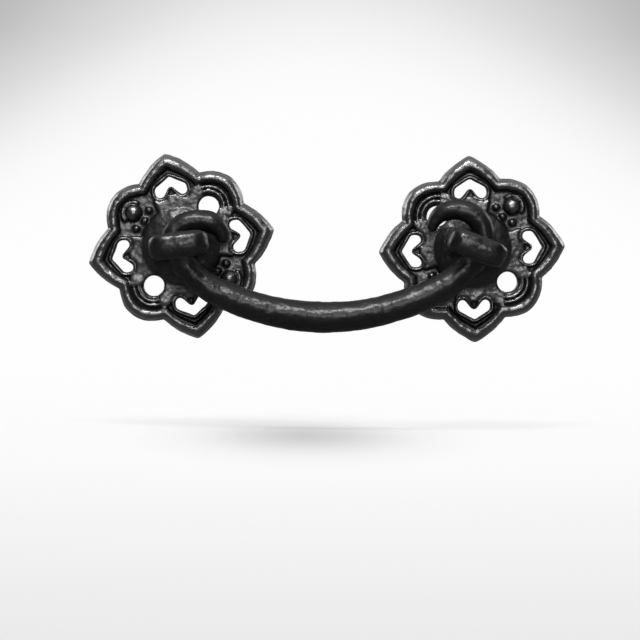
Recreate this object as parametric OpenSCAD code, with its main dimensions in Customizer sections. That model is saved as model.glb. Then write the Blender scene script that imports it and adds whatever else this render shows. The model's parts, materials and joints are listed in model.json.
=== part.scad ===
// Drop handle for a drawer: a curved bail hooked through two swivel eyes on pierced rosette plates.
// X runs along the handle, Z is up and the face looks along -Y. The plates' backs lie on y = 0.

/* [Mounting] */
// Distance between the centres of the two plates
plate_spacing = 72.5; // [66:0.5:90]
// Turn of the left plate about its centre
left_plate_turn = 11; // [-45:1:45]
// Turn of the right plate about its centre
right_plate_turn = 92.6; // [45:0.2:135]

/* [Plate outline] */
// Centre to the tip of a pointed lobe
point_r = 23.4; // [22.6:0.2:28]
// Centre to the crease between two lobes
crease_r = 18.7; // [18.4:0.1:20]
// Centre to the crown of a round lobe
lobe_r = 21; // [20.4:0.1:24]
// Angle from a pointed tip to the crease beside it
crease_angle = 24; // [21:3:27]

/* [Plate relief] */
// Thickness of the flat base that touches the drawer
base_t = 1.2; // [0.8:0.1:2]
// Height of the sunk field inside the rim
field_t = 2.1; // [1.6:0.1:2.6]
// Height of the raised flat round the boss
star_t = 2.9; // [2.7:0.1:3.4]
// Centre to the flat's points beside the beaded lobes
star_point_r = 13; // [12.4:0.1:13.4]
// Centre to the flat's points at the creases beside the screw holes
star_crease_r = 16.4; // [15.6:0.1:16.8]
// Height of the rim's crest
rim_t = 3.7; // [3.3:0.1:4.6]
// Width of the thin lip outside the rim
lip_w = 0.3; // [0.1:0.05:0.6]
// Width of the rim at a pointed tip
rim_tip_w = 3.7; // [3.2:0.1:4]
// Width of the rim on a round lobe
rim_lobe_w = 2.9; // [2.4:0.1:3.1]
// Height of the boss under the eye
boss_t = 4.4; // [3.6:0.1:4.8]
// Radius of the boss at its foot
boss_r = 10; // [9:0.1:10.4]

/* [Piercings] */
// Distance of a heart's outer tip from the plate's centre
heart_tip_r = 17.6; // [17:0.1:18]
// Width of a heart across its arms
heart_w = 8.3; // [8:0.1:8.8]
// Length of a heart along the radius
heart_l = 5.05; // [4.7:0.05:5.3]
// Radius of a heart's round arm end
heart_arm_r = 1.3; // [1.1:0.05:1.35]
// Thickness of a heart between its tip and its notch
heart_throat = 2.7; // [2.4:0.1:3]
// Radius of the round tongue in a heart's notch
heart_tongue_r = 0.7; // [0.5:0.05:0.8]
// Width of the low collar round a heart
collar_w = 0.8; // [0.6:0.05:0.85]
// Height of the collar's crest
collar_t = 3; // [2.6:0.1:3.3]
// Diameter of a screw hole
screw_hole_d = 5.4; // [4:0.1:5.8]
// Distance of a screw hole from the plate's centre
screw_r = 12; // [11.6:0.1:12.6]

/* [Lobe ornament] */
// Radius of the dome in a beaded lobe
dome_r = 2.1; // [1.8:0.1:2.3]
// Distance of the dome from the plate's centre
dome_place_r = 14.6; // [14.2:0.1:14.8]
// Height of the dome's crown
dome_t = 4; // [3.4:0.1:4.6]
// Radius of the round beads beside the dome
bead_r = 0.85; // [0.6:0.05:1]
// Distance of the two outer beads from the plate's centre
bead_outer_r = 12; // [11.8:0.1:12.2]
// Distance of the middle bead from the plate's centre
bead_inner_r = 11; // [10.8:0.1:11.2]
// Width of the thin crescent ridges
ridge_w = 0.7; // [0.4:0.1:0.8]
// Height of the crescent ridges
ridge_t = 3; // [2.5:0.1:3.3]
// Gap between the screw hole's edge and the middle of the first crescent
crescent_gap = 1.1; // [0.8:0.1:1.3]
// Distance between the two crescents round a screw hole
crescent_pitch = 1.15; // [1:0.05:1.3]

/* [Eyes] */
// Length of an eye's front bar
eye_w = 14.8; // [14.4:0.1:16]
// Height of the front bar as seen from the front
eye_bar_h = 6.4; // [5.2:0.1:6.6]
// Thickness of the front bar from front to back
eye_bar_t = 3.8; // [3:0.1:4.4]
// Thickness of an eye's leg along the bar
eye_leg_w = 2.3; // [1.8:0.1:2.4]
// Height of an eye's leg across the bar
eye_leg_h = 2.6; // [2:0.1:2.8]
// Height of the front bar's middle above the drawer
eye_bar_out = 22.8; // [22:0.1:28]
// Height of the eye's foot yoke above the drawer
eye_foot_out = 5.9; // [5.6:0.1:6.2]
// Bend radius of the eye's four corners
eye_corner_r = 2.4; // [1.8:0.1:3]
// Turn of the left eye, its inner end up
left_eye_turn = 8; // [0:1:12]
// Turn of the right eye, its inner end up
right_eye_turn = 19.5; // [10:0.5:26]
// Diameter of the shank that turns in the plate
shank_d = 4; // [3:0.1:5]
// Gap between shank and bore, on the radius
shank_gap = 0.08; // [0.02:0.01:0.1]
// Diameter of the riveted head behind the plate
rivet_d = 7.4; // [6.6:0.1:8.4]
// Thickness of the riveted head
rivet_t = 1.6; // [1:0.1:1.8]

/* [Bail] */
// Thickness of the bail at its middle
bail_d = 7.8; // [6.5:0.1:9]
// Distance along the handle from an eye's axis to where the long curve ends in a hook
hook_reach = 9.95; // [9.8:0.05:10.2]
// Drop of that place below the plates' centres
hook_drop = 11.3; // [11:0.1:11.6]
// Distance of the bail's plane from the drawer
bail_out = 12.2; // [12:0.1:12.8]
// Shift of the bail's middle to the left
bail_shift = 0.9; // [0.6:0.1:1.2]
// Thickness of a hook where it passes its eye
hook_d = 5.5; // [4.6:0.1:5.6]
// Thickness of the left hook's tip
left_tip_d = 3.6; // [2.4:0.1:3.8]
// Thickness of the right hook's tip
right_tip_d = 2.8; // [2:0.1:3.4]

/* [Hidden] */
iron = [0.12, 0.12, 0.12];

outline_steps = 120;     // points round a plate, so that tips and creases fall on points
rim_steps = 7;           // facets over the rim's round back
eye_sides = 16;          // sides of an eye's section
eye_squareness = 0.8;    // 1 gives an eye a round section, less a squarer one
bar_bluntness = 2.3;     // 2 gives the front bar half-round ends, more gives blunter ones
bail_sides = 16;         // sides of the bail's section
bend_step = 6.5;         // turn of the bail between two rings, in degrees
sunk = 0.4;              // how far a raised shape reaches into what carries it
through = 1;             // how far a cut runs past the surface

heart_point_r = 0.6;     // radius of a heart's outer tip
heart_shoulder_r = 1.2;  // radius of a heart's outer shoulder
heart_lean = 31;         // angle between a heart's outer edge and its width
tongue_share = 0.35;     // how much of a heart's growth its tongue gives way by
collar_steps = 4;        // facets over a collar's round back
groove_w = 0.2;          // width of the groove's floor outside a collar
star_point_a = 21;       // angle from a tip to the flat's point beside a beaded lobe
star_rise_a = 15;        // angle from a tip to where the flat starts to reach for the crease
star_crease_a = 27;      // angle from a tip to the flat's point at the crease
bead_a = 13.5;           // angle between the middle bead and an outer one
rim_crease_w = rim_lobe_w + 0.1;
rivet_gap = 0.3;         // play of the riveted head at its rim
rivet_play = 0.15;       // play of the riveted head under the recess's floor
rivet_depth = 0.35;      // how far the riveted head stays in front of the plate's back
shank_play = 0.25;       // gap between the eye's yoke and the boss
boss_flat = 1.4;         // width of the boss's flat top round the bore
crescent_foot = 0.2;     // gap between a dome and its crescent
recess_d = rivet_d + 2 * rivet_gap;
recess_t = rivet_t + rivet_play + rivet_depth;
bore_d = shank_d + 2 * shank_gap;
eye_yoke_t = 2 * (eye_foot_out - boss_t - shank_play);

bail_slope = 26;         // slope of the long curve at its two ends
bail_half = plate_spacing / 2 - hook_reach;
bail_curve_r = bail_half / sin(bail_slope);
bail_drop = hook_drop + bail_curve_r * (1 - cos(bail_slope));
left_flank_r = 21;       // bend from the long curve into the left hook
left_shank_r = 28.5;     // bend below the left eye's front bar
left_heel_r = 3.5;       // bend behind the front bar
left_crown_r = 8.8;      // bend over the eye's leg
left_end_r = 4.4;        // bend of the tip
right_flank_r = 32;
right_shank_r = 15.5;
right_heel_r = 6.2;
right_crown_r = 7.3;
right_end_r = 5;

// Outline of the plate: four pointed lobes at 0, 90, 180 and 270 degrees, four round ones between
function to_tip(a) = abs(((a + 405) % 90) - 45);
function edge_r(a) = to_tip(a) <= crease_angle
    ? point_r - (point_r - crease_r) * to_tip(a) / crease_angle
    : crease_r + (lobe_r - crease_r)
        * sin(90 * (to_tip(a) - crease_angle) / (45 - crease_angle));
function rim_w(a) = to_tip(a) <= crease_angle
    ? rim_tip_w - (rim_tip_w - rim_crease_w) * to_tip(a) / crease_angle
    : rim_crease_w - (rim_crease_w - rim_lobe_w)
        * (to_tip(a) - crease_angle) / (45 - crease_angle);
function outline(in_lip, in_rim) = [for (i = [0 : outline_steps - 1])
    let(a = 360 * i / outline_steps, r = edge_r(a) - in_lip * lip_w - in_rim * rim_w(a))
    [r * cos(a), r * sin(a)]];

// Faces of a tube whose rings are listed in order: open with two caps, or closed on itself
function tube_faces(rings, sides, closed) = concat(
    [for (i = [0 : rings - (closed ? 1 : 2)], k = [0 : sides - 1])
        let(j = (i + 1) % rings, m = (k + 1) % sides)
        [i * sides + k, i * sides + m, j * sides + m, j * sides + k]],
    closed ? [] : [[for (k = [sides - 1 : -1 : 0]) k],
                   [for (k = [0 : sides - 1]) (rings - 1) * sides + k]]);

// The rounded rim that follows the outline, one ring of section points at each step
module rim() {
    foot = base_t - sunk;
    points = [for (i = [0 : outline_steps - 1], k = [0 : rim_steps])
        let(a = 360 * i / outline_steps, t = 180 * k / rim_steps,
            r = edge_r(a) - lip_w - rim_w(a) * (1 - cos(t)) / 2,
            h = foot + (rim_t - foot) * pow(sin(t), 0.75))
        [r * cos(a), r * sin(a), h]];
    polyhedron(points, tube_faces(outline_steps, rim_steps + 1, true), convexity = 8);
}

// Heart piercing, grown outward by g: arcs round its tip, shoulder and arm, and round the tongue
// that parts its arms, each tangent to the next. The tongue gives way by only a part of g
function arc(at, r, from, to, steps) = [for (k = [0 : steps])
    let(t = from + (to - from) * k / steps) [at[0] + r * cos(t), at[1] + r * sin(t)]];
function half_heart(g) = let(
        tip_x = heart_tip_r - heart_point_r,
        side_y = heart_w / 2 - heart_shoulder_r,
        side_x = (cos(heart_lean) * tip_x + heart_point_r - heart_shoulder_r
            - sin(heart_lean) * side_y) / cos(heart_lean),
        arm = [heart_tip_r - heart_l + heart_arm_r, heart_w / 2 - heart_arm_r],
        tongue = [heart_tip_r - heart_throat - heart_tongue_r, 0],
        tongue_r = heart_tongue_r - g * tongue_share,
        apart = norm(arm - tongue),
        turn = 360 - atan2(arm[1] - tongue[1], tongue[0] - arm[0])
            - acos(min(1, (heart_arm_r + g + tongue_r) / apart)))
    concat(
        arc([tip_x, 0], heart_point_r + g, 0, heart_lean, 2),
        arc([side_x, side_y], heart_shoulder_r + g, heart_lean, 90, 3),
        arc(arm, heart_arm_r + g, 100, turn, 7),
        arc(tongue, tongue_r, turn - 180, 0, 3));
function heart_outline(g) = let(h = half_heart(g), n = len(h))
    concat(h, [for (i = [n - 2 : -1 : 1]) [h[i][0], -h[i][1]]]);

// Low rounded collar that stands round a heart
module heart_collar() {
    foot = base_t - sunk;
    inner = heart_outline(0);
    n = len(inner);
    rings = [for (k = [0 : collar_steps])
        let(t = 180 * k / collar_steps) [heart_outline(collar_w * (1 - cos(t)) / 2),
            foot + (collar_t - foot) * pow(sin(t), 0.75)]];
    points = [for (i = [0 : n - 1], k = [collar_steps : -1 : 0])
        [rings[k][0][i][0], rings[k][0][i][1], rings[k][1]]];
    polyhedron(points, tube_faces(n, collar_steps + 1, true), convexity = 8);
}

// Raised flat that runs round the boss and between the hearts. It reaches out beside each screw
// hole and stops short of the sunk beaded lobes, and a groove parts it from the hearts' collars
function star_r(a) = let(d = to_tip(a), beaded = a % 180 > 90, valley = boss_r - 2 * sunk)
    beaded ? (d <= star_point_a ? star_point_r : valley)
    : d <= star_rise_a ? star_point_r
    : d <= star_crease_a ? star_point_r
        + (star_crease_r - star_point_r) * (d - star_rise_a) / (star_crease_a - star_rise_a)
    : star_crease_r - (star_crease_r - valley) * (d - star_crease_a) / (45 - star_crease_a);
module star() {
    linear_extrude(star_t) difference() {
        polygon([for (i = [0 : outline_steps - 1])
            let(a = 360 * i / outline_steps) star_r(a) * [cos(a), sin(a)]]);
        for (a = [0 : 90 : 270]) rotate(a) polygon(heart_outline(collar_w + groove_w));
    }
}

// Part of a ring with a rounded top, bulging away from the plate's centre
module crescent(r, span) {
    rotate([0, 0, -span / 2]) rotate_extrude(angle = span, $fn = 64) {
        translate([r - ridge_w / 2, field_t - sunk]) square([ridge_w, ridge_t - field_t + sunk - ridge_w / 2]);
        translate([r, ridge_t - ridge_w / 2]) circle(ridge_w / 2, $fn = 24);
    }
}

// Cap of a sphere with its foot in the field
module dome(r, crown) {
    rise = crown - field_t;
    ball = (r * r + rise * rise) / (2 * rise);
    translate([0, 0, crown - ball]) intersection() {
        sphere(ball, $fn = 48);
        translate([-ball, -ball, ball - rise - sunk]) cube([2 * ball, 2 * ball, rise + sunk + through]);
    }
}

// Round lobe with a screw hole: two crescents on its outer side
module screw_lobe() {
    translate([screw_r, 0, 0]) {
        crescent(screw_hole_d / 2 + crescent_gap, 180);
        crescent(screw_hole_d / 2 + crescent_gap + crescent_pitch, 160);
    }
}

// Round lobe with a dome, a crescent behind it and three beads before it
module bead_lobe() {
    translate([dome_place_r, 0, 0]) {
        dome(dome_r, dome_t);
        crescent(dome_r + ridge_w / 2 + crescent_foot, 170);
    }
    for (p = [[bead_outer_r, bead_a], [bead_outer_r, -bead_a], [bead_inner_r, 0]])
        rotate([0, 0, p[1]]) translate([p[0], 0, 0]) dome(bead_r, field_t + bead_r);
}

// Smooth low dome that carries the eye
module boss() {
    rise = boss_t - field_t;
    flat_r = bore_d / 2 + boss_flat;
    rotate_extrude($fn = 72) polygon(concat([[0, base_t - sunk], [boss_r, base_t - sunk]],
        [for (t = [10 : 10 : 90])
            [flat_r + (boss_r - flat_r) * cos(t), field_t + rise * sin(t)]],
        [[0, boss_t]]));
}

// One rosette casting, lying on its back with its face up
module rosette() {
    difference() {
        union() {
            linear_extrude(base_t) polygon(outline(0, 0));
            linear_extrude(field_t) polygon(outline(1, 0.6));
            rim();
            star();
            boss();
            for (a = [0 : 90 : 270]) rotate([0, 0, a]) heart_collar();
            for (a = [45, 225]) rotate([0, 0, a]) screw_lobe();
            for (a = [135, 315]) rotate([0, 0, a]) bead_lobe();
        }
        for (a = [0 : 90 : 270]) rotate([0, 0, a]) translate([0, 0, -through])
            linear_extrude(rim_t + 2 * through) polygon(heart_outline(0.02));
        for (a = [45, 225]) rotate([0, 0, a]) translate([screw_r, 0, -through])
            cylinder(h = rim_t + 2 * through, d = screw_hole_d, $fn = 64);
        translate([0, 0, -through]) cylinder(h = boss_t + 2 * through, d = bore_d, $fn = 64);
        translate([0, 0, -through]) cylinder(h = recess_t + through, d = recess_d, $fn = 64);
    }
}

// Stands a shape modelled face up so that it faces the front
module face_front(x, turn) {
    translate([x, 0, 0]) rotate([90, 0, 0]) rotate([0, 0, turn]) children();
}

module left_plate() {
    color(iron) face_front(-plate_spacing / 2, left_plate_turn) rosette();
}

module right_plate() {
    color(iron) face_front(plate_spacing / 2, right_plate_turn) rosette();
}

// Half height of the front bar at a distance from its middle: its two ends are round
eye_half = (eye_w - eye_leg_w) / 2;
function bar_half_h(s) = let(past = max(0, s - (eye_w - eye_bar_h) / 2))
    eye_bar_h / 2 * pow(1 - pow(2 * past / eye_bar_h, bar_bluntness), 1 / bar_bluntness);

// Half of the eye's loop, from the foot's middle to the front bar's middle. Each ring is
// [place along the bar, height above the drawer, direction of its normal, half width, half height]
function eye_side() = let(c = eye_corner_r, s1 = eye_half - c, u0 = eye_foot_out, u1 = eye_bar_out,
        straight = u1 - u0 - 2 * c, foot = eye_yoke_t / 2, leg = eye_leg_w / 2, bar = eye_bar_t / 2,
        leg_h = eye_leg_h / 2, flare = bar_half_h(eye_half) - leg_h)
    concat(
        [for (k = [0 : 2]) [s1 * k / 3, u0, -90, foot, leg_h]],
        [for (k = [0 : 3]) let(t = -90 + 30 * k)
            [s1 + c * cos(t), u0 + c + c * sin(t), t, foot + (leg - foot) * k / 3, leg_h]],
        [for (k = [1 : 5]) let(w = max(0, (k - 2) / 4))
            [eye_half, u0 + c + straight * k / 6, 0, leg, leg_h + flare * w * w]],
        [for (k = [0 : 5]) let(t = 18 * k, s = s1 + c * cos(t))
            [s, u1 - c + c * sin(t), t, leg + (bar - leg) * k / 5, bar_half_h(s)]],
        [for (k = [1 : 3]) let(s = s1 * (1 - k / 3)) [s, u1, 90, bar, bar_half_h(s)]]);
function squared(v) = sign(v) * pow(abs(v), eye_squareness);
function mirrored(p) = [-p[0], p[1], 180 - p[2], p[3], p[4]];
function eye_loop() = let(h = eye_side(), n = len(h))
    concat(h, [for (i = [n - 2 : -1 : 1]) mirrored(h[i])]);

// Cast eye: a loop with a heavy front bar, and a shank riveted over behind the plate
module eye() {
    loop = eye_loop();
    points = [for (p = loop, k = [0 : eye_sides - 1])
        let(b = 360 * (k + 0.5) / eye_sides, out = p[3] * squared(cos(b)))
        [p[0] + out * cos(p[2]), -p[4] * squared(sin(b)), p[1] + out * sin(p[2])]];
    polyhedron(points, tube_faces(len(loop), eye_sides, true), convexity = 6);
    translate([0, 0, recess_t - sunk]) cylinder(h = eye_foot_out - recess_t + sunk, d = shank_d, $fn = 48);
    translate([0, 0, rivet_depth]) rotate_extrude($fn = 48) polygon([
        [0, 0],
        [rivet_d * 0.36, 0],
        [rivet_d * 0.46, rivet_t * 0.3],
        [rivet_d / 2, rivet_t * 0.7],
        [rivet_d / 2, rivet_t],
        [0, rivet_t]]);
}

module left_eye() {
    color(iron) face_front(-plate_spacing / 2, left_eye_turn) eye();
}

module right_eye() {
    color(iron) face_front(plate_spacing / 2, -right_eye_turn) eye();
}

// Bends of each half of the bail, from its middle to the tip: radius, turn, thickness at the end
left_bends = [
    [bail_curve_r, bail_slope, bail_d * 0.9],
    [left_flank_r, 23, bail_d * 0.8],
    [left_shank_r, 15, hook_d],
    [left_heel_r, 78, hook_d * 0.95],
    [left_crown_r, 58, hook_d],
    [left_end_r, 58, left_tip_d]];
right_bends = [
    [bail_curve_r, bail_slope, bail_d * 0.9],
    [right_flank_r, 22, bail_d * 0.8],
    [right_shank_r, 21, hook_d],
    [right_heel_r, 74, hook_d],
    [right_crown_r, 62, hook_d * 0.88],
    [right_end_r, 53, right_tip_d]];

// Walks along the bends: each ring is [x, z, heading, thickness], the heading turning clockwise
function bend_rings(x, z, heading, d, bend, n) = [for (k = [1 : n])
    let(turn = bend[1] * k / n, r = bend[0],
        cx = x + r * sin(heading), cz = z - r * cos(heading), h = heading - turn)
    [cx - r * sin(h), cz + r * cos(h), h, d + (bend[2] - d) * k / n]];
function walk(bends, i, start) = i == len(bends) ? [] :
    let(n = ceil(bends[i][1] / bend_step),
        rings = bend_rings(start[0], start[1], start[2], start[3], bends[i], n))
    concat(rings, walk(bends, i + 1, rings[n - 1]));

// Round end of a tip: three rings that close over it
function tip_rings(p) = [for (t = [30, 60, 82])
    [p[0] + sin(t) * p[3] / 2 * cos(p[2]), p[1] + sin(t) * p[3] / 2 * sin(p[2]), p[2], p[3] * cos(t)]];
function half_bail(bends) = let(start = [0, -bail_drop, 180, bail_d],
        body = walk(bends, 0, start), last = body[len(body) - 1])
    concat(body, tip_rings(last));
function flipped(p) = [-p[0], p[1], 180 - p[2], p[3]];

// The bail: one bent and tapered rod from hook tip to hook tip
module bail() {
    left = half_bail(left_bends);
    right = half_bail(right_bends);
    n = len(left);
    // rings run from the left tip to the right tip, with headings all pointing that way
    rings = concat(
        [for (i = [n - 1 : -1 : 0]) [left[i][0], left[i][1], left[i][2] + 180, left[i][3]]],
        [[0, -bail_drop, 0, bail_d]],
        [for (p = right) flipped(p)]);
    points = [for (p = rings, k = [0 : bail_sides - 1])
        let(b = 360 * k / bail_sides, out = p[3] / 2 * cos(b))
        [p[0] - bail_shift - out * sin(p[2]), p[3] / 2 * sin(b) - bail_out, p[1] + out * cos(p[2])]];
    color(iron) polyhedron(points, tube_faces(len(rings), bail_sides, false), convexity = 6);
}

left_plate();
right_plate();
left_eye();
right_eye();
bail();
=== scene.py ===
import bpy
import json
import math
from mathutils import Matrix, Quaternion, Vector

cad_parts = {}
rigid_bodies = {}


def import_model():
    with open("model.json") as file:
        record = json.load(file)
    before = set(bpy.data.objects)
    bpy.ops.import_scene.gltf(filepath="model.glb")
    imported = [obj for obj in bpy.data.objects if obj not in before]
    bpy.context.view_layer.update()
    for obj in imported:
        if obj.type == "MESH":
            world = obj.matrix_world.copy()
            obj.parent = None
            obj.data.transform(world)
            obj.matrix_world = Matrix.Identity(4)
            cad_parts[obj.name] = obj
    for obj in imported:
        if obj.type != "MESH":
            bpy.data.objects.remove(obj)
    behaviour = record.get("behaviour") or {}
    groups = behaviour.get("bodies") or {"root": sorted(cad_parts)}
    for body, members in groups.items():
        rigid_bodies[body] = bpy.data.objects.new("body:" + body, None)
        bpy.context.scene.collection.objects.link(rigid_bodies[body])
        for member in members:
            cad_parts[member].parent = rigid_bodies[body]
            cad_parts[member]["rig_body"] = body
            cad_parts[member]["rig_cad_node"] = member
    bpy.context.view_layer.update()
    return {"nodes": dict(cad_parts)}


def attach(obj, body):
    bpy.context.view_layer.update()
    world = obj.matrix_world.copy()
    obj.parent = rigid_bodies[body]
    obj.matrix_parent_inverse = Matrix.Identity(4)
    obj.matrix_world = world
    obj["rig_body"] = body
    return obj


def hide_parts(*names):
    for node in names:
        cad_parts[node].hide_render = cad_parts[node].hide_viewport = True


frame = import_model()

# Sizes in metres
MM = 0.001
CAMERA_DISTANCE = 0.700
FRAME_WIDTH = 0.160
VIEW_MIDDLE = Vector((-0.0015, 0.0, -0.0181))
CAMERA_LEFT = 0.008
CAMERA_RISE = 0.009
CAMERA_ROLL = math.radians(0.6)
FLOOR_UNDER = 0.0460
BACKDROP_BEHIND = 1.500
SHEET_SIZE = 6.0
FINE_GRAIN = 0.215 * MM
PLAIN_GRAIN = 0.28 * MM
PLATE_PLACE = 36.25 * MM


# Small helpers for the operators
def select_only(piece):
    if bpy.context.object and bpy.context.object.mode != "OBJECT":
        bpy.ops.object.mode_set(mode="OBJECT")
    bpy.ops.object.select_all(action="DESELECT")
    piece.select_set(True)
    bpy.context.view_layer.objects.active = piece


def apply_modifier(piece, kind, **settings):
    select_only(piece)
    modifier = piece.modifiers.new(kind.lower(), kind)
    for name, value in settings.items():
        setattr(modifier, name, value)
    bpy.ops.object.modifier_apply(modifier=modifier.name)


# Black paint over cast iron: soft gloss, brush-thick lumps and a fine sandy grain; the gloss film
# carries painted shade in hollows
def link(tree, out, into):
    tree.links.new(out, into)


def noise_on_object(tree, scale, detail, roughness):
    place = tree.nodes.new("ShaderNodeTexCoord")
    noise = tree.nodes.new("ShaderNodeTexNoise")
    noise.inputs["Scale"].default_value = scale
    noise.inputs["Detail"].default_value = detail
    noise.inputs["Roughness"].default_value = roughness
    link(tree, place.outputs["Object"], noise.inputs["Vector"])
    return noise.outputs["Fac"]


def remapped(tree, value, low, high, to_low, to_high):
    spread = tree.nodes.new("ShaderNodeMapRange")
    spread.inputs["From Min"].default_value = low
    spread.inputs["From Max"].default_value = high
    spread.inputs["To Min"].default_value = to_low
    spread.inputs["To Max"].default_value = to_high
    link(tree, value, spread.inputs["Value"])
    return spread.outputs["Result"]


def math_node(tree, operation, first, second=None):
    node = tree.nodes.new("ShaderNodeMath")
    node.operation = operation
    for socket, value in zip(node.inputs, (first, second)):
        if isinstance(value, (int, float)):
            socket.default_value = value
        elif value is not None:
            link(tree, value, socket)
    return node.outputs[0]


def length(tree, first, second):
    squares = [math_node(tree, "MULTIPLY", v, v) for v in (first, second)]
    return math_node(tree, "SQRT", math_node(tree, "ADD", *squares))


# Painted shade round a plate's boss, where the eye and hook shade it: the gloss film is thinned
# there
BOSS_SHADE_TO = 13.0 * MM
BOSS_UNSHADED_FROM = 20.0 * MM
BOSS_SHADE_SHARE = 0.16
BOSS_BLOT = 9.0 * MM


def shade_near_boss(tree):
    place = tree.nodes.new("ShaderNodeTexCoord")
    split = tree.nodes.new("ShaderNodeSeparateXYZ")
    link(tree, place.outputs["Object"], split.inputs["Vector"])
    beside = math_node(tree, "ABSOLUTE", split.outputs["X"])
    beside = math_node(tree, "SUBTRACT", beside, PLATE_PLACE)
    from_boss = length(tree, beside, split.outputs["Z"])
    blot = math_node(tree, "MULTIPLY", noise_on_object(tree, 300.0, 3.0, 0.6), BOSS_BLOT)
    return remapped(tree, math_node(tree, "ADD", from_boss, blot),
                    BOSS_SHADE_TO, BOSS_UNSHADED_FROM, BOSS_SHADE_SHARE, 1.0)


LUMP_HEIGHT = 0.25 * MM
GRAIN_HEIGHT = 0.06 * MM
SHADE_FROM_OCCLUSION = 0.74
FILM_SHARE_IN_SHADE = 0.04


def black_paint(name, black, under_shine, film, film_index, film_roughness,
                lump, grain, shade_reach, boss_shade=None):
    paint = bpy.data.materials.new(name)
    paint.use_nodes = True
    tree = paint.node_tree
    shader = tree.nodes["Principled BSDF"]
    shader.inputs["Metallic"].default_value = 0.0
    shader.inputs["Specular IOR Level"].default_value = under_shine
    shader.inputs["Coat Roughness"].default_value = film_roughness
    shader.inputs["Coat IOR"].default_value = film_index
    patches = noise_on_object(tree, 260.0, 4.0, 0.6)
    tone = tree.nodes.new("ShaderNodeValToRGB")
    tone.color_ramp.elements[0].position = 0.35
    tone.color_ramp.elements[0].color = (*[c * 0.75 for c in black], 1.0)
    tone.color_ramp.elements[1].position = 0.70
    tone.color_ramp.elements[1].color = (*[c * 1.35 for c in black], 1.0)
    link(tree, patches, tone.inputs["Fac"])
    link(tree, tone.outputs["Color"], shader.inputs["Base Color"])
    link(tree, remapped(tree, patches, 0.3, 0.7, 0.30, 0.55), shader.inputs["Roughness"])
    # Painted shade: ambient occlusion thins the gloss film in hollows and where other parts lie
    # close
    occlusion_shade = tree.nodes.new("ShaderNodeAmbientOcclusion")
    occlusion_shade.samples = 8
    occlusion_shade.inputs["Distance"].default_value = shade_reach
    film_with_painted_shade = remapped(tree, occlusion_shade.outputs["AO"], SHADE_FROM_OCCLUSION, 1.0, FILM_SHARE_IN_SHADE * film, film)
    film_with_painted_shade = math_node(tree, "MULTIPLY", film_with_painted_shade, remapped(tree, patches, 0.3, 0.7, 1.15, 0.75))
    # painted shade: the gloss film is thinned round the plate's boss, under the eye and hook
    if boss_shade:
        film_with_painted_shade = math_node(tree, "MULTIPLY", film_with_painted_shade, boss_shade(tree))
    link(tree, film_with_painted_shade, shader.inputs["Coat Weight"])
    coarse = tree.nodes.new("ShaderNodeBump")
    coarse.inputs["Strength"].default_value = lump
    coarse.inputs["Distance"].default_value = LUMP_HEIGHT
    link(tree, noise_on_object(tree, 520.0, 1.5, 0.45), coarse.inputs["Height"])
    fine = tree.nodes.new("ShaderNodeBump")
    fine.inputs["Strength"].default_value = grain
    fine.inputs["Distance"].default_value = GRAIN_HEIGHT
    link(tree, noise_on_object(tree, 2600.0, 2.0, 0.5), fine.inputs["Height"])
    link(tree, coarse.outputs["Normal"], fine.inputs["Normal"])
    link(tree, fine.outputs["Normal"], shader.inputs["Normal"])
    link(tree, fine.outputs["Normal"], shader.inputs["Coat Normal"])
    return paint


BLACK = (0.003, 0.003, 0.003)
plate_paint = black_paint("plate_black_paint", BLACK, under_shine=0.22, film=1.0,
                          film_index=2.0, film_roughness=0.32, lump=1.0, grain=0.45,
                          shade_reach=4.0 * MM, boss_shade=shade_near_boss)
eye_paint = black_paint("eye_black_paint", BLACK, under_shine=0.06, film=0.36,
                        film_index=1.65, film_roughness=0.27, lump=0.7, grain=0.3,
                        shade_reach=5.0 * MM)
bail_paint = black_paint("bail_black_paint", BLACK, under_shine=0.06, film=0.33,
                         film_index=1.65, film_roughness=0.33, lump=0.85, grain=0.2,
                         shade_reach=5.0 * MM)


# Castings: each is a copy of its solid, remade as one even skin, softened like thick paint
# over sand-cast iron and given the low lumps of the mould
LUMP_SIZE = 3.6 * MM
PIT_SIZE = 1.3 * MM
PIT_SHARE = 0.4


def mould_lumps(piece, name, size, height):
    lumps = bpy.data.textures.new(name, "CLOUDS")
    lumps.noise_scale = size
    lumps.noise_depth = 1
    apply_modifier(piece, "DISPLACE", texture=lumps, texture_coords="LOCAL",
                   strength=height, mid_level=0.5)


def blunt_tips(piece, middle_x, first, last, rounds):
    tips = piece.vertex_groups.new(name="tips")
    tips.add(range(len(piece.data.vertices)), 1.0, "REPLACE")
    bpy.ops.mesh.primitive_plane_add(size=0.01 * MM, location=(middle_x, 0.0, 0.0))
    middle = bpy.context.object
    apply_modifier(piece, "VERTEX_WEIGHT_PROXIMITY", vertex_group="tips", target=middle,
                   proximity_mode="GEOMETRY", proximity_geometry={"VERTEX"},
                   min_dist=first, max_dist=last)
    apply_modifier(piece, "SMOOTH", factor=0.5, iterations=rounds, vertex_group="tips")
    select_only(middle)
    bpy.ops.object.delete()


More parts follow.
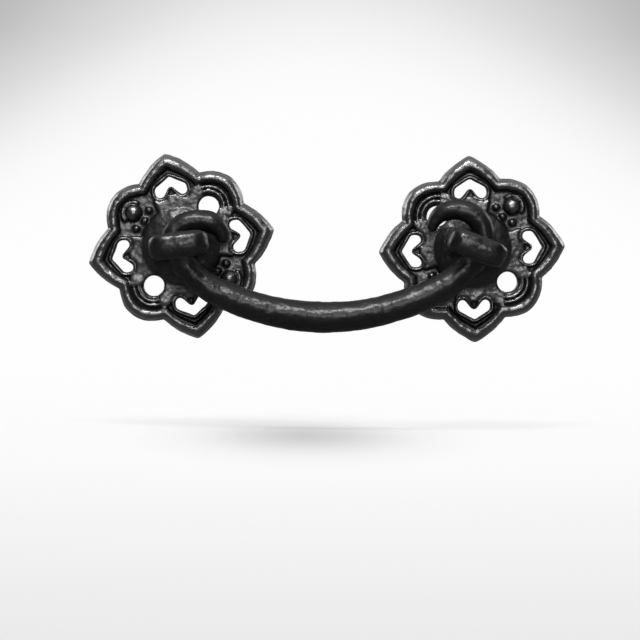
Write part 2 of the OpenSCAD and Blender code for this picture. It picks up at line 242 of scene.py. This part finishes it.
def casting(node, name, paint, body, slot, grain, coat, softening, lumps,
            rounding=0, tips=None):
    solid = frame["nodes"][node]
    select_only(solid)
    bpy.ops.object.duplicate(linked=False)
    piece = bpy.context.object
    piece.name = name
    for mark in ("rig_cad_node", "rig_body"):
        if mark in piece:
            del piece[mark]
    piece.parent = None
    bpy.ops.object.mode_set(mode="EDIT")
    bpy.ops.mesh.select_all(action="SELECT")
    bpy.ops.mesh.remove_doubles(threshold=0.001 * MM)
    bpy.ops.mesh.tris_convert_to_quads()
    bpy.ops.object.mode_set(mode="OBJECT")
    if rounding:
        apply_modifier(piece, "SUBSURF", levels=rounding)
    apply_modifier(piece, "REMESH", mode="VOXEL", voxel_size=grain, adaptivity=0.0)
    apply_modifier(piece, "DISPLACE", strength=coat, mid_level=0.0)
    apply_modifier(piece, "SMOOTH", factor=0.5, iterations=softening)
    if tips:
        blunt_tips(piece, *tips)
    mould_lumps(piece, name + "_lumps", LUMP_SIZE, lumps)
    mould_lumps(piece, name + "_pits", PIT_SIZE, PIT_SHARE * lumps)
    select_only(piece)
    bpy.ops.object.shade_smooth()
    piece.data.materials.clear()
    piece.data.materials.append(paint)
    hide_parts(node)
    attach(piece, body)


PLATE_SKIN = {"grain": FINE_GRAIN, "coat": 0.15 * MM, "softening": 12, "lumps": 0.26 * MM}
EYE_SKIN = {"grain": PLAIN_GRAIN, "coat": 0.05 * MM, "softening": 24, "lumps": 0.18 * MM,
            "rounding": 2}
BAIL_SKIN = {"grain": PLAIN_GRAIN, "coat": 0.08 * MM, "softening": 10, "lumps": 0.28 * MM,
             "rounding": 2}
LEFT_TIPS = (-PLATE_PLACE, 20.8 * MM, 22.6 * MM, 20)
RIGHT_TIPS = (PLATE_PLACE, 20.2 * MM, 22.0 * MM, 90)

casting("left_plate", "left_rosette_casting", plate_paint, "plates", "plate_iron",
        tips=LEFT_TIPS, **PLATE_SKIN)
casting("right_plate", "right_rosette_casting", plate_paint, "plates", "plate_iron",
        tips=RIGHT_TIPS, **PLATE_SKIN)
casting("left_eye", "left_eye_casting", eye_paint, "left_eye", "eye_iron", **EYE_SKIN)
casting("right_eye", "right_eye_casting", eye_paint, "right_eye", "eye_iron", **EYE_SKIN)
casting("bail", "bail_casting", bail_paint, "bail", "bail_iron", **BAIL_SKIN)


# Camera: in front of the plates, a little to the left of the picture's middle and above it
CAMERA_PLACE = VIEW_MIDDLE + Vector((-CAMERA_LEFT, -CAMERA_DISTANCE, CAMERA_RISE))
SENSOR_WIDTH = 36.0


def photo_camera():
    view = (VIEW_MIDDLE - CAMERA_PLACE).to_track_quat("-Z", "Y")
    roll = Quaternion((0.0, 0.0, 1.0), CAMERA_ROLL)
    bpy.ops.object.camera_add(location=CAMERA_PLACE, rotation=(view @ roll).to_euler())
    camera = bpy.context.object
    camera.name = "photo_camera"
    camera.data.sensor_width = SENSOR_WIDTH
    camera.data.lens = SENSOR_WIDTH * CAMERA_DISTANCE / FRAME_WIDTH
    camera.data.clip_start = 0.01
    camera.data.clip_end = 10.0
    bpy.context.scene.camera = camera


photo_camera()


# Studio: three soft boxes before and over the handle, and two weak ones beside and behind it
def soft_box(name, place, aim, wide, high, power):
    bpy.ops.object.light_add(type="AREA", location=place)
    lamp = bpy.context.object
    lamp.name = name
    lamp.data.shape = "RECTANGLE"
    lamp.data.size = wide
    lamp.data.size_y = high
    lamp.data.energy = power
    lamp.rotation_euler = (Vector(aim) - Vector(place)).to_track_quat("-Z", "Y").to_euler()


HANDLE_MIDDLE = (0.0, -0.010, -0.005)
soft_box("high_front_box", (-0.05, -0.55, 0.54), HANDLE_MIDDLE, 0.26, 0.16, 7.0)
soft_box("low_front_box", (0.02, -0.84, 0.15), HANDLE_MIDDLE, 0.24, 0.18, 1.9)
soft_box("top_soft_box", (0.0, -0.15, 0.60), HANDLE_MIDDLE, 1.00, 0.70, 2.4)
soft_box("back_left_box", (-0.75, 0.45, 0.35), HANDLE_MIDDLE, 0.50, 0.50, 3.0)
soft_box("back_right_box", (0.75, 0.45, 0.35), HANDLE_MIDDLE, 0.50, 0.50, 3.0)


def grey_ramp(tree, value, stops):
    ramp = tree.nodes.new("ShaderNodeValToRGB")
    ramp.color_ramp.interpolation = "B_SPLINE"
    while len(ramp.color_ramp.elements) < len(stops):
        ramp.color_ramp.elements.new(0.5)
    for element, (position, grey) in zip(ramp.color_ramp.elements, stops):
        element.position = position
        element.color = (grey, grey, grey, 1.0)
    link(tree, value, ramp.inputs["Fac"])
    return ramp.outputs["Color"]


# Painted shade on the white paper: it darkens slowly away from the foot of the backdrop, in rings
# round one place on it:
# up and sideways on the backdrop, and sideways and towards the front on the floor
WHITE_MIDDLE = Vector((0.0156, BACKDROP_BEHIND, -0.0374))
WHITE_HALF_WIDTH = 0.2514
FLOOR_HALF_LENGTH = 1.93
FOOT_SHARE = 0.45
FOOT_HEIGHT = 0.9
PAINTED_FALL_OFF = [(0.0, 1.0), (0.45, 1.0), (0.56, 0.98), (0.68, 0.88), (0.78, 0.74), (0.90, 0.60),
            (1.0, 0.48)]


# The handle's soft shadow, painted as an oval on the floor under it
SHADOW_PLACE = (-0.005, -0.020)
SHADOW_SPREAD = (0.045, 0.135)
SHADOW_DEPTH = [(0.0, 0.60), (0.30, 0.74), (0.60, 0.94), (1.0, 1.0)]


def shifted(tree, value, middle, reach):
    return math_node(tree, "DIVIDE", math_node(tree, "SUBTRACT", value, middle), reach)


# White paper: it glows to the eye and in reflections, and is matt paper to the lamps. The
# floor is dimmed in reflections, to keep the handle's underside as dark as in the photograph.
# A share of the floor that the eye sees is lit by the lamps, and so keeps the real shadow
FLOOR_IN_REFLECTIONS = 0.22
BACKDROP_IN_REFLECTIONS = 1.0
FLOOR_LIT_SHARE = 0.28
PAPER_WHITE = (0.80, 0.80, 0.80, 1.0)
LIT_FADE = (-0.08, 0.25)
EVENED_REACH = (-0.41, 0.29)
EVENED_WHITE = (0.40, 0.93)


def stage_material(name, in_reflections, lit_share):
    paper = bpy.data.materials.new(name)
    paper.use_nodes = True
    tree = paper.node_tree
    for node in list(tree.nodes):
        tree.nodes.remove(node)
    place = tree.nodes.new("ShaderNodeTexCoord")
    split = tree.nodes.new("ShaderNodeSeparateXYZ")
    link(tree, place.outputs["Object"], split.inputs["Vector"])
    across, depth, height = (split.outputs[axis] for axis in "XYZ")
    side = shifted(tree, across, WHITE_MIDDLE.x, WHITE_HALF_WIDTH)
    rise = shifted(tree, height, WHITE_MIDDLE.z, WHITE_HALF_WIDTH)
    front = shifted(tree, depth, WHITE_MIDDLE.y, FLOOR_HALF_LENGTH)
    foot = remapped(tree, rise, 0.0, FOOT_HEIGHT, FOOT_SHARE, 1.0)
    side = math_node(tree, "MULTIPLY", side, foot)
    away_from_middle = math_node(tree, "DIVIDE", length(tree, side, length(tree, rise, front)),
                                 math.sqrt(2.0))
    # painted shade: the white falls off away from the middle
    white = grey_ramp(tree, away_from_middle, PAINTED_FALL_OFF)
    # painted shadow: the oval under the handle
    shadow_x = shifted(tree, across, SHADOW_PLACE[0], SHADOW_SPREAD[0])
    shadow_y = shifted(tree, depth, SHADOW_PLACE[1], SHADOW_SPREAD[1])
    shadow = grey_ramp(tree, length(tree, shadow_x, shadow_y), SHADOW_DEPTH)
    mix = tree.nodes.new("ShaderNodeMix")
    mix.data_type = "RGBA"
    mix.blend_type = "MULTIPLY"
    mix.inputs["Factor"].default_value = 1.0
    link(tree, white, mix.inputs["A"])
    link(tree, shadow, mix.inputs["B"])
    glow = tree.nodes.new("ShaderNodeEmission")
    link(tree, mix.outputs["Result"], glow.inputs["Color"])
    path = tree.nodes.new("ShaderNodeLightPath")
    dimmed = math_node(tree, "MULTIPLY", path.outputs["Is Glossy Ray"], 1.0 - in_reflections)
    link(tree, math_node(tree, "SUBTRACT", 1.0, dimmed), glow.inputs["Strength"])
    matt = tree.nodes.new("ShaderNodeBsdfDiffuse")
    matt.inputs["Color"].default_value = PAPER_WHITE
    if lit_share:
        # the lamps light the floor's front more than its back, and a darker paper evens that
        evened = tree.nodes.new("ShaderNodeVectorMath")
        evened.operation = "SCALE"
        link(tree, mix.outputs["Result"], evened.inputs["Vector"])
        link(tree, remapped(tree, depth, *EVENED_REACH, *EVENED_WHITE), evened.inputs["Scale"])
        lit = tree.nodes.new("ShaderNodeBsdfDiffuse")
        link(tree, evened.outputs["Vector"], lit.inputs["Color"])
        shadowed = tree.nodes.new("ShaderNodeMixShader")
        share = remapped(tree, depth, *LIT_FADE, lit_share, 0.0)
        share = math_node(tree, "MULTIPLY", path.outputs["Is Camera Ray"], share)
        link(tree, share, shadowed.inputs["Fac"])
        link(tree, glow.outputs["Emission"], shadowed.inputs[1])
        link(tree, lit.outputs["BSDF"], shadowed.inputs[2])
        glow = shadowed
    direct = math_node(tree, "MAXIMUM", path.outputs["Is Camera Ray"],
                       path.outputs["Is Glossy Ray"])
    direct = math_node(tree, "MAXIMUM", direct, path.outputs["Is Transmission Ray"])
    choose = tree.nodes.new("ShaderNodeMixShader")
    link(tree, direct, choose.inputs["Fac"])
    link(tree, matt.outputs["BSDF"], choose.inputs[1])
    link(tree, glow.outputs[0], choose.inputs[2])
    out = tree.nodes.new("ShaderNodeOutputMaterial")
    link(tree, choose.outputs["Shader"], out.inputs["Surface"])
    return paper


def stage_sheet(name, place, turn, material):
    bpy.ops.mesh.primitive_plane_add(size=SHEET_SIZE, location=place, rotation=turn)
    sheet = bpy.context.object
    sheet.name = name
    bpy.ops.object.transform_apply(location=True, rotation=True, scale=True)
    sheet.data.materials.append(material)


stage_sheet("white_floor", (0.0, BACKDROP_BEHIND - SHEET_SIZE / 2, -FLOOR_UNDER), (0.0, 0.0, 0.0),
            stage_material("white_floor_paper", FLOOR_IN_REFLECTIONS, FLOOR_LIT_SHARE))
stage_sheet("white_backdrop", (0.0, BACKDROP_BEHIND, 1.0), (math.pi / 2, 0.0, 0.0),
            stage_material("white_backdrop_paper", BACKDROP_IN_REFLECTIONS, 0.0))

# Surround: white to the camera, and a dim grey to everything else
SURROUND_DIM = 0.06

surround = bpy.data.worlds.new("pale_surround")
bpy.context.scene.world = surround
surround.use_nodes = True
sky = surround.node_tree
glow = sky.nodes["Background"]
path = sky.nodes.new("ShaderNodeLightPath")
level = sky.nodes.new("ShaderNodeMapRange")
level.inputs["To Min"].default_value = SURROUND_DIM
level.inputs["To Max"].default_value = 1.0
sky.links.new(path.outputs["Is Camera Ray"], level.inputs["Value"])
glow.inputs["Color"].default_value = (1.0, 1.0, 1.0, 1.0)
sky.links.new(level.outputs["Result"], glow.inputs["Strength"])

bpy.context.scene.view_settings.view_transform = "Standard"
